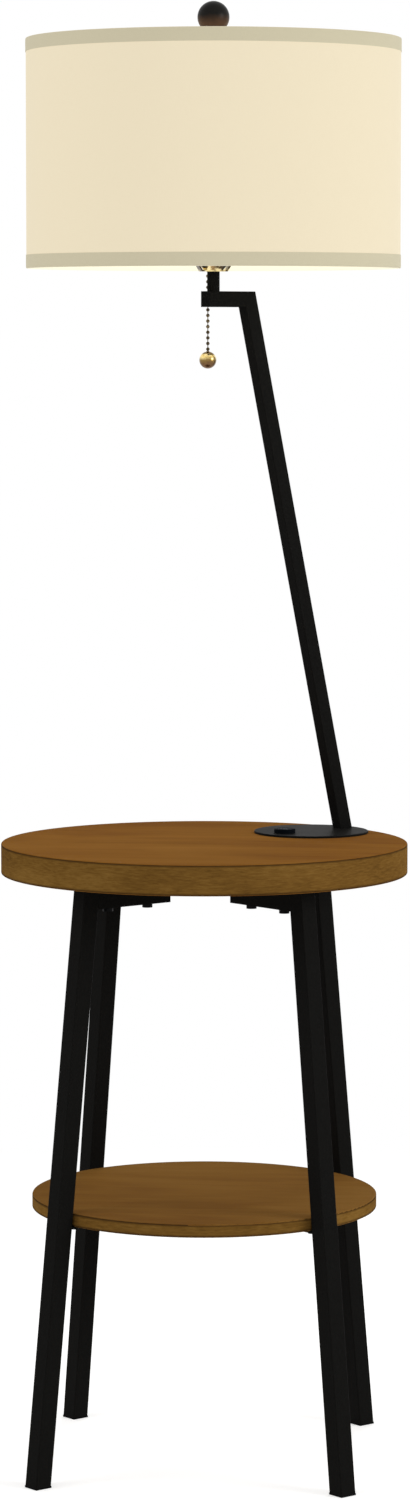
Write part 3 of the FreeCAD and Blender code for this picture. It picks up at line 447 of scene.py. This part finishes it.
bulbValues = {
    "glass": (0.95, 0.92, 0.84),
    "frost": (1.0, 0.98, 0.93),
    "rough": 0.45,
    "grain": 900.0,
    "light": (1.0, 0.90, 0.70),
    "strength": 1.8,
}


def bulbFinish(name, v):
    material, tree, shader = newFinish(name, v["glass"], v["rough"])
    frost = noise(tree, objectPoint(tree), v["grain"], detail=3, rough=0.6)
    mottle(tree, shader, frost, (v["glass"], v["frost"]), 0, 1)
    addGlow(shader, v["light"], v["strength"])
    return material


threadValues = {
    "brass": {"colour": cleanBrass, "rough": 0.28},
    "aluminium": {"colour": (0.72, 0.72, 0.71), "rough": 0.34},
    "studPitch": 0.0009,
    "bulbPitch": 0.0036,  # of the thread rolled into the bulb's base and its shell
    "tones": (0.8, 1.0),
    "scuff": 500.0,
    "bump": 0.8,
    "bumpDeep": 0.0006,
}


def threadFinish(name, kind, pitch, v):
    # rolled threads are too fine for the solids, so each turn is a level band of bump
    look = v[kind]
    material, tree, shader = newFinish(name, look["colour"], look["rough"], 1.0)
    scale = 0.1 * math.pi / v[pitch]   # at scale 1 the texture has 10 / pi bands in a metre
    wave = addNode(tree, "TexWave", {"Vector": objectPoint(tree), "Scale": scale, "Distortion": 0.0},
                   wave_type="BANDS", bands_direction="Z", wave_profile="SIN")
    scuff = noise(tree, objectPoint(tree), v["scuff"], detail=3, rough=0.6)
    mottle(tree, shader, scuff, tonesOf(look["colour"], v["tones"]))
    addBump(tree, shader, wave.outputs["Fac"], v["bump"], v["bumpDeep"])
    return material


bronzeValues = {
    "dark": (0.0085, 0.0078, 0.0070),
    "paintedReflectionBrown": (0.078, 0.042, 0.025),
    "darkFrom": (0.52, 0.72),    # shares of the height, from the painted reflection brown to dark
    "uneven": 0.03,
    "unevenCloud": 60.0,
    "rough": 0.34,
    "drift": (-0.04, 0.06),
    "shine": 0.08,
    "cloud": 90.0,
}


def bronzeFinish(name, v):
    # dark above, with a painted reflection of the lit shade's warm top in brown below the ball's middle
    material, tree, shader = newFinish(name, v["dark"], v["rough"], 0.0, v["shine"])
    share = heightShare(tree, "finial", v["uneven"], v["unevenCloud"])
    mottle(tree, shader, share, (v["paintedReflectionBrown"], v["dark"]), *v["darkFrom"])
    cloud = noise(tree, objectPoint(tree), v["cloud"], detail=4, rough=0.6)
    varyRough(tree, shader, cloud, v["rough"], v["drift"])
    return material


paintValues = {
    "wire": (0.74, 0.72, 0.67),
    "tones": (0.93, 1.0),
    "rough": 0.42,
    "cloud": 240.0,
    "bump": 0.08,
}


def paintFinish(name, v):
    material, tree, shader = newFinish(name, v["wire"], v["rough"])
    drift = noise(tree, objectPoint(tree), v["cloud"], detail=3, rough=0.5)
    mottle(tree, shader, drift, tonesOf(v["wire"], v["tones"]), 0, 1)
    addBump(tree, shader, drift, v["bump"])
    return material


cardValues = {
    "colour": (0.40, 0.28, 0.15),
    "tones": (0.7, 1.0),
    "rough": 0.8,
    "shine": 0.2,
    "fibre": (700, 700, 160),
    "bump": 0.2,
}


def cardFinish(name, v):
    material, tree, shader = newFinish(name, v["colour"], v["rough"], 0, v["shine"])
    fibre = noise(tree, objectPoint(tree, v["fibre"]), detail=4, rough=0.7)
    mottle(tree, shader, fibre, tonesOf(v["colour"], v["tones"]), 0, 1)
    addBump(tree, shader, fibre, v["bump"])
    return material


def giveFinish(material, *names):
    for name in names:
        mesh = nodes[name].data
        mesh.materials.clear()
        mesh.materials.append(material)


def finishTable():
    corners = ("front_left", "front_right", "back_left", "back_right")
    giveFinish(woodFinish("walnutTop", "table_top", woodValues), "table_top")
    giveFinish(woodFinish("walnutShelfPaintedLift", "lower_shelf", woodValues, woodValues["shelfPaintedLift"]), "lower_shelf")
    giveFinish(coatFinish("powderCoat", coatValues), *["leg_" + corner for corner in corners],
               *["rail_" + corner for corner in corners], "shelf_tabs", "base_plate", "pole", "lamp_arm",
               "riser_tube")
    giveFinish(plasticFinish("blackPlastic", "black", plasticValues),
               "foot_glides", "rail_end_plugs", "arm_end_cap")
    giveFinish(plasticFinish("portPlastic", "port", plasticValues), "port_housing")
    giveFinish(plasticFinish("softRubber", "rubber", plasticValues), "cord_grommet")
    giveFinish(steelFinish("blackSteel", "black", steelValues), "rail_bolts", "shelf_screws")
    giveFinish(steelFinish("zincSteel", "zinc", steelValues),
               "plate_studs", "stud_washers", "stud_nuts", "port_contacts")


def finishLampHead():
    giveFinish(brassFinish("brightBrass", "bright", brassValues),
               "socket_shell", "centre_contact", "harp", "harp_sleeves", "chain_bell")
    giveFinish(brassFinish("brassPaintedReflection", "paintedReflection", brassValues), "harp_saddle", "socket_cap")
    giveFinish(brassFinish("agedBrass", "aged", brassValues), "chain_top", "pull_chain")
    giveFinish(ballFinish("ballBrassPaintedReflection", ballValues), "pull_ball")
    giveFinish(threadFinish("threadedBrass", "brass", "studPitch", threadValues),
               "threaded_nipple", "harp_stud")
    giveFinish(threadFinish("rolledBrass", "brass", "bulbPitch", threadValues), "screw_shell")
    giveFinish(threadFinish("rolledAluminium", "aluminium", "bulbPitch", threadValues), "bulb_base")
    giveFinish(bulbFinish("frostedGlass", bulbValues), "bulb_glass")
    giveFinish(bronzeFinish("darkBronze", bronzeValues), "finial")
    giveFinish(paintFinish("whitePaint", paintValues),
               "fitter_hub", "fitter_spokes", "top_ring", "bottom_ring")
    giveFinish(cardFinish("linerCard", cardValues), "socket_liner")
    giveFinish(plasticFinish("phenolic", "phenolic", plasticValues), "socket_core")


finishTable()
finishLampHead()
print("finishes given to the solids")


def finishPiece(piece, material, body, smooth=40):
    pick(piece)
    bpy.ops.object.transform_apply(location=True, rotation=True, scale=True)
    bpy.ops.object.shade_smooth_by_angle(angle=math.radians(smooth))
    piece.data.materials.clear()
    piece.data.materials.append(material)
    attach(piece, body)


def drawProfile(name, points):
    # a line in the plane through the lamp's axis, drawn point by point: distance from the axis, height
    clearSelection()
    start = lampAxis + Vector((points[0][0], 0, points[0][1]))
    bpy.ops.mesh.primitive_plane_add(size=0.001, location=start)   # merged to one point below
    piece = bpy.context.object
    piece.name = name
    bpy.ops.object.mode_set(mode="EDIT")
    bpy.ops.mesh.select_all(action="SELECT")
    bpy.ops.mesh.merge(type="CENTER")
    for before, after in zip(points, points[1:]):
        step = (after[0] - before[0], 0, after[1] - before[1])
        bpy.ops.mesh.extrude_vertices_move(TRANSFORM_OT_translate={"value": step})
    bpy.ops.mesh.select_all(action="SELECT")
    return piece


def spinProfile(piece, steps, angle=2 * math.pi):
    bpy.ops.mesh.spin(steps=steps, angle=angle, center=lampAxis, axis=(0, 0, 1))
    bpy.ops.mesh.select_all(action="SELECT")
    bpy.ops.mesh.remove_doubles(threshold=0.00001)
    bpy.ops.mesh.normals_make_consistent(inside=False)
    bpy.ops.object.mode_set(mode="OBJECT")
    return piece


def thicken(piece, thickness):
    shell = piece.modifiers.new("thickness", "SOLIDIFY")
    shell.thickness = thickness
    shell.offset = -1   # behind the drawn surface
    shell.use_even_offset = True
    bpy.context.view_layer.objects.active = piece
    bpy.ops.object.modifier_apply(modifier=shell.name)


def fromLampAxis(tree):
    # to the right, to the back and up
    return list(addNode(tree, "SeparateXYZ", {0: objectPoint(tree, shift=-lampAxis)}).outputs)


def roundTheAxis(tree, radius):
    # arc length round the lamp's axis and height, with the join at the back
    across, back, height = fromLampAxis(tree)
    angle = calculate(tree, "ARCTAN2", across, calculate(tree, "MULTIPLY", back, -1.0))
    arc = calculate(tree, "MULTIPLY", angle, radius)
    return addNode(tree, "CombineXYZ", {0: arc, 1: height}).outputs[0]


def threads(tree, flatPoint, along, across, detail=2):
    # noise drawn out along the level weft, plus the same along the upright warp
    weft = addNode(tree, "Mapping", {"Vector": flatPoint, "Scale": (along, across, 1)}).outputs[0]
    warp = addNode(tree, "Mapping", {"Vector": flatPoint, "Scale": (across, along, 1)}).outputs[0]
    return calculate(tree, "ADD", noise(tree, weft, detail=detail), noise(tree, warp, detail=detail))


shadeValues = {
    "radius": 0.1896,     # of the linen's outside
    "linenThick": 0.0004,
    "linerThick": 0.0008,
    "bottom": 1.2231,
    "top": 1.4535,
    "rows": 6,            # of faces from bottom to top
    "steps": 192,         # round the axis
    "lapWide": 0.0095,    # the linen's lap at the back
    "lapThick": 0.00035,
    "lapSteps": 4,
    "linen": (0.300, 0.264, 0.192),
    "linenPale": (0.314, 0.280, 0.208),
    "linenWarm": (0.286, 0.249, 0.177),
    "linenGlow": 0.595,   # the light that comes through the cloth
    "weave": (90.0, 2400.0),     # scales along and across the threads
    "weaveFrom": (0.75, 1.25),   # the range of the two noises' sum that goes from one tone to the other
    "slubs": (14.0, 420.0),
    "slubsFrom": (0.8, 1.2),
    "slubShare": (0.25, 0.75),
    "bump": 0.25,
    "rough": 0.85,
    "shine": 0.15,
    "sheen": 0.1,
    "liner": (0.86, 0.83, 0.72),
    "linerTones": (0.95, 1.0),
    "linerCloud": 30.0,
    "linerRough": 0.6,
    "linerShine": 0.3,
    "linerGlow": 0.26,
    "glow": (1.0, 0.88, 0.64),
    "innerGlow": (1.0, 0.97, 0.80),
}


def linenFinish(v):
    material, tree, shader = newFinish("linen", v["linen"], v["rough"], 0, v["shine"])
    flatPoint = roundTheAxis(tree, v["radius"])
    cloth = threads(tree, flatPoint, *v["weave"])
    slubs = threads(tree, flatPoint, *v["slubs"], detail=4)
    colour = blendColours(tree, spread(tree, cloth, *v["weaveFrom"]), v["linenWarm"], v["linenPale"])
    slubShare = spread(tree, slubs, *v["slubsFrom"], *v["slubShare"])
    setColour(tree, shader, blendColours(tree, slubShare, v["linen"], colour))
    addBump(tree, shader, cloth, v["bump"])
    shader.inputs["Sheen Weight"].default_value = v["sheen"]
    addGlow(shader, v["glow"], v["linenGlow"])
    return material


def linerFinish(v):
    material, tree, shader = newFinish("shadeLiner", v["liner"], v["linerRough"], 0, v["linerShine"])
    drift = noise(tree, objectPoint(tree), v["linerCloud"], detail=3)
    mottle(tree, shader, drift, tonesOf(v["liner"], v["linerTones"]), 0, 1)
    addGlow(shader, v["innerGlow"], v["linerGlow"])
    return material


def makeLayer(name, radius, thickness, heights, material, v):
    layer = spinProfile(drawProfile(name, [(radius, height) for height in heights]), v["steps"])
    thicken(layer, thickness)
    finishPiece(layer, material, "shade")
    return layer


def makeLap(heights, material, v):
    lapAngle = v["lapWide"] / v["radius"]
    lap = drawProfile("shadeLap", [(v["radius"] + v["lapThick"], height) for height in heights])
    spinProfile(lap, v["lapSteps"], lapAngle)
    pick(lap)
    bpy.ops.object.mode_set(mode="EDIT")
    bpy.ops.mesh.select_all(action="SELECT")
    toBack = math.radians(-90) + lapAngle / 2
    bpy.ops.transform.rotate(value=toBack, orient_axis="Z", center_override=lampAxis)
    bpy.ops.object.mode_set(mode="OBJECT")
    thicken(lap, v["lapThick"])
    finishPiece(lap, material, "shade")
    return lap


def makeShade(v):
    linen = linenFinish(v)
    rise = v["top"] - v["bottom"]
    heights = [v["bottom"] + rise * part / v["rows"] for part in range(v["rows"] + 1)]
    cloth = makeLayer("shadeLinen", v["radius"], v["linenThick"], heights, linen, v)
    inside = v["radius"] - v["linenThick"]
    liner = makeLayer("shadeLiner", inside, v["linerThick"], heights, linerFinish(v), v)
    lap = makeLap(heights, linen, v)
    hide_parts("shade_drum")
    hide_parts("shade_drum")
    return cloth, liner, lap


tapeValues = {
    "outside": 0.19005,
    "wide": 0.0138,       # of the band that shows outside
    "inside": 0.0115,     # and of the turned-in edge
    "thick": 0.0005,
    "overhang": 0.0004,   # past the linen's edge
    "ringInner": 0.18515,   # how far in the roll over the wire ring reaches
    "wall": 0.18830,      # the turned-in edge, on the liner
    # points of the roll over the wire ring: distance in from the outside, out from the ring's inner side and
    # in from the wall, each with the distance from the edge
    "rollOutside": ((0.0, 0.0022), (0.0001, 0.0011), (0.0005, 0.0004), (0.0012, 0.0001), (0.0024, 0.0)),
    "rollRing": ((0.0012, 0.0002), (0.0004, 0.0007), (0.0, 0.0016), (0.0001, 0.0028), (0.0012, 0.0040)),
    "rollWall": ((0.0005, 0.0052), (0.0, 0.0064)),
    "steps": 192,
    "smooth": 60,
    "colour": (0.318, 0.300, 0.205),
    "pale": (0.342, 0.322, 0.226),
    "ribs": (160.0, 2200.0),
    "bump": 0.3,
    "glow": 0.310,
    "innerGlow": 0.83,    # of the turned-in edge, which faces the bulb
    "innerFade": (0.0002, 0.0008),     # outwards from the wall, where the inner glow ends
}


def tapeFinish(v, shade):
    material, tree, shader = newFinish("linenTape", v["colour"], shade["rough"], 0, shade["shine"])
    ribs = threads(tree, roundTheAxis(tree, v["outside"]), *v["ribs"])
    mottle(tree, shader, ribs, (v["colour"], v["pale"]), *shade["weaveFrom"])
    addBump(tree, shader, ribs, v["bump"])
    shader.inputs["Sheen Weight"].default_value = shade["sheen"]
    across, back = fromLampAxis(tree)[:2]
    reach = lengthOf(tree, addNode(tree, "CombineXYZ", {0: across, 1: back}).outputs[0])
    inside = spread(tree, reach, *[v["wall"] + fade for fade in v["innerFade"]], 1.0, 0.0)
    tree.links.new(blendColours(tree, inside, shade["glow"], shade["innerGlow"]),
                   shader.inputs["Emission Color"])
    tree.links.new(spread(tree, inside, 0, 1, v["glow"], v["innerGlow"]), shader.inputs["Emission Strength"])
    return material


def makeTape(name, node, level, up, v, material):
    # up is 1 for the top edge and -1 for the bottom one; the tape is rolled over the wire ring
    out, ring, wall = v["outside"], v["ringInner"], v["wall"]
    profile = [(out, v["wide"]), (out, v["wide"] * 0.5)]
    profile += [(out - across, down) for across, down in v["rollOutside"]]
    profile += [(ring + across, down) for across, down in v["rollRing"]]
    profile += [(wall - across, down) for across, down in v["rollWall"]]
    profile += [(wall, v["inside"])]
    edge = level + v["overhang"] * up
    tape = drawProfile(name, [(across, edge - down * up) for across, down in profile])
    spinProfile(tape, v["steps"])
    thicken(tape, v["thick"])
    finishPiece(tape, material, "shade", v["smooth"])
    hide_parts(node)
    return tape


linenCloth, shadeLiner, linenLap = makeShade(shadeValues)
tapeCloth = tapeFinish(tapeValues, shadeValues)
topTape = makeTape("topTape", "top_trim", shadeValues["top"], 1, tapeValues, tapeCloth)
bottomTape = makeTape("bottomTape", "bottom_trim", shadeValues["bottom"], -1, tapeValues, tapeCloth)
print("shade covered and taped")
